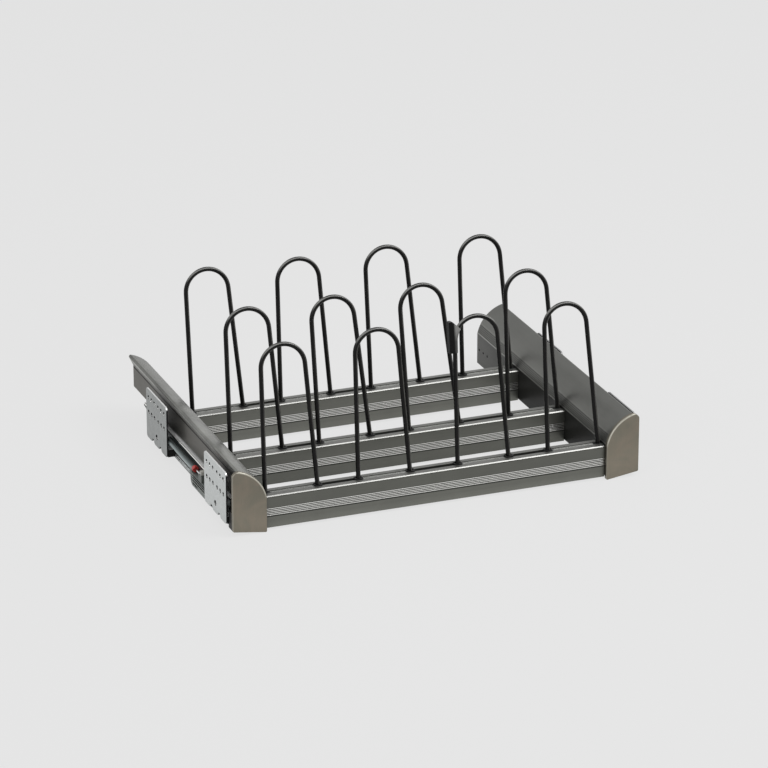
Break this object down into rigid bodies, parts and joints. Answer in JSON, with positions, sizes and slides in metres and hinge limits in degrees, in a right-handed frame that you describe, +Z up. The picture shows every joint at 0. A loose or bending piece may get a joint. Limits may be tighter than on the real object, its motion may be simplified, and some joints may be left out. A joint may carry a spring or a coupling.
{
  "type": "pull-out shoe rack",
  "caption": "Pull-out wardrobe shoe rack: grooved cross bars with black bent wire hoops between curved aluminium side rails on soft-closing ball-bearing slides.",
  "frame": {"origin": "middle of the width and depth of the closed rack, at its lowest point", "axes": "+X to the right and -Y towards the user, the way the rack pulls out; +Z up"},
  "size_m": [0.564, 0.441, 0.2377],
  "materials": {
    "rail_aluminium": "satin grey anodised",
    "cap_bronze": "brushed bronze-grey lacquer",
    "bar_gunmetal": "gunmetal anodised, bright turned lines",
    "wire_black": "black powder coat",
    "black_plastic": "moulded black",
    "clip_plastic": "moulded dark grey",
    "slide_steel": "zinc plated, rolled",
    "retainer_steel": "thin rolled steel",
    "ball_steel": "polished",
    "stop_rubber": "black",
    "zinc_steel": "zinc plated sheet",
    "screw_steel": "zinc plated",
    "track_plastic": "moulded grey",
    "damper_metal": "blue-grey lacquered tube",
    "damper_red": "moulded red",
    "catch_white": "moulded off-white"
  },
  "bodies": {
    "wardrobe_side_parts": {"slide_cabinet_member_left": "slide_steel", "slide_rear_stop_left": "stop_rubber", "mounting_plate_front_left": "zinc_steel", "mounting_plate_rear_left": "zinc_steel", "damper_track_left": "track_plastic", "damper_tube_left": "damper_metal", "damper_end_left": "damper_red", "slide_cabinet_member_right": "slide_steel", "slide_rear_stop_right": "stop_rubber", "mounting_plate_front_right": "zinc_steel", "mounting_plate_rear_right": "zinc_steel", "damper_track_right": "track_plastic", "damper_tube_right": "damper_metal", "damper_end_right": "damper_red"},
    "rack": {"side_rail_left": "rail_aluminium", "front_cap_left": "cap_bronze", "slide_rack_member_left": "slide_steel", "hanger_angle_left": "zinc_steel", "hanger_screws_left": "screw_steel", "slide_rivets_left": "screw_steel", "bar_screws_left": "screw_steel", "front_buffer_left": "black_plastic", "striker_pin_left": "screw_steel", "side_rail_right": "rail_aluminium", "front_cap_right": "cap_bronze", "slide_rack_member_right": "slide_steel", "hanger_angle_right": "zinc_steel", "hanger_screws_right": "screw_steel", "slide_rivets_right": "screw_steel", "bar_screws_right": "screw_steel", "front_buffer_right": "black_plastic", "striker_pin_right": "screw_steel", "cross_bar_front": "bar_gunmetal", "wire_hoops_front": "wire_black", "wire_end_blocks_front": "black_plastic", "foot_pads_front": "black_plastic", "cross_bar_middle": "bar_gunmetal", "wire_hoops_middle": "wire_black", "wire_end_blocks_middle": "black_plastic", "foot_pads_middle": "black_plastic", "cross_bar_rear": "bar_gunmetal", "wire_hoops_rear": "wire_black", "wire_end_blocks_rear": "black_plastic", "foot_pads_rear": "black_plastic", "hoop_clip": "clip_plastic"},
    "left_middle_member": {"slide_middle_member_left": "slide_steel"},
    "left_outer_balls": {"ball_retainer_outer_left": "retainer_steel", "bearing_balls_outer_left": "ball_steel"},
    "left_inner_balls": {"ball_retainer_inner_left": "retainer_steel", "bearing_balls_inner_left": "ball_steel"},
    "left_catch": {"soft_close_catch_left": "catch_white", "damper_rod_left": "ball_steel"},
    "right_middle_member": {"slide_middle_member_right": "slide_steel"},
    "right_outer_balls": {"ball_retainer_outer_right": "retainer_steel", "bearing_balls_outer_right": "ball_steel"},
    "right_inner_balls": {"ball_retainer_inner_right": "retainer_steel", "bearing_balls_inner_right": "ball_steel"},
    "right_catch": {"soft_close_catch_right": "catch_white", "damper_rod_right": "ball_steel"}
  },
  "joints": [
    {"name": "rack_slide", "type": "slide", "parent": "wardrobe_side_parts", "child": "rack", "axis": [0, -1, 0], "range_m": [0, 0.35]},
    {"name": "left_middle_slide", "type": "slide", "parent": "wardrobe_side_parts", "child": "left_middle_member", "axis": [0, -1, 0], "range_m": [0, 0.175]},
    {"name": "left_outer_ball_travel", "type": "slide", "parent": "wardrobe_side_parts", "child": "left_outer_balls", "axis": [0, -1, 0], "range_m": [0, 0.0875]},
    {"name": "left_inner_ball_travel", "type": "slide", "parent": "wardrobe_side_parts", "child": "left_inner_balls", "axis": [0, -1, 0], "range_m": [0, 0.2625]},
    {"name": "left_catch_slide", "type": "slide", "parent": "wardrobe_side_parts", "child": "left_catch", "axis": [0, -1, 0], "range_m": [0, 0.045], "stiffness_N_per_m": 120},
    {"name": "right_middle_slide", "type": "slide", "parent": "wardrobe_side_parts", "child": "right_middle_member", "axis": [0, -1, 0], "range_m": [0, 0.175]},
    {"name": "right_outer_ball_travel", "type": "slide", "parent": "wardrobe_side_parts", "child": "right_outer_balls", "axis": [0, -1, 0], "range_m": [0, 0.0875]},
    {"name": "right_inner_ball_travel", "type": "slide", "parent": "wardrobe_side_parts", "child": "right_inner_balls", "axis": [0, -1, 0], "range_m": [0, 0.2625]},
    {"name": "right_catch_slide", "type": "slide", "parent": "wardrobe_side_parts", "child": "right_catch", "axis": [0, -1, 0], "range_m": [0, 0.045], "stiffness_N_per_m": 120}
  ],
  "couplings": [
    {"joint": "left_middle_slide", "follows": "rack_slide", "ratio": 0.5},
    {"joint": "left_outer_ball_travel", "follows": "rack_slide", "ratio": 0.25},
    {"joint": "left_inner_ball_travel", "follows": "rack_slide", "ratio": 0.75},
    {"joint": "right_middle_slide", "follows": "rack_slide", "ratio": 0.5},
    {"joint": "right_outer_ball_travel", "follows": "rack_slide", "ratio": 0.25},
    {"joint": "right_inner_ball_travel", "follows": "rack_slide", "ratio": 0.75}
  ]
}
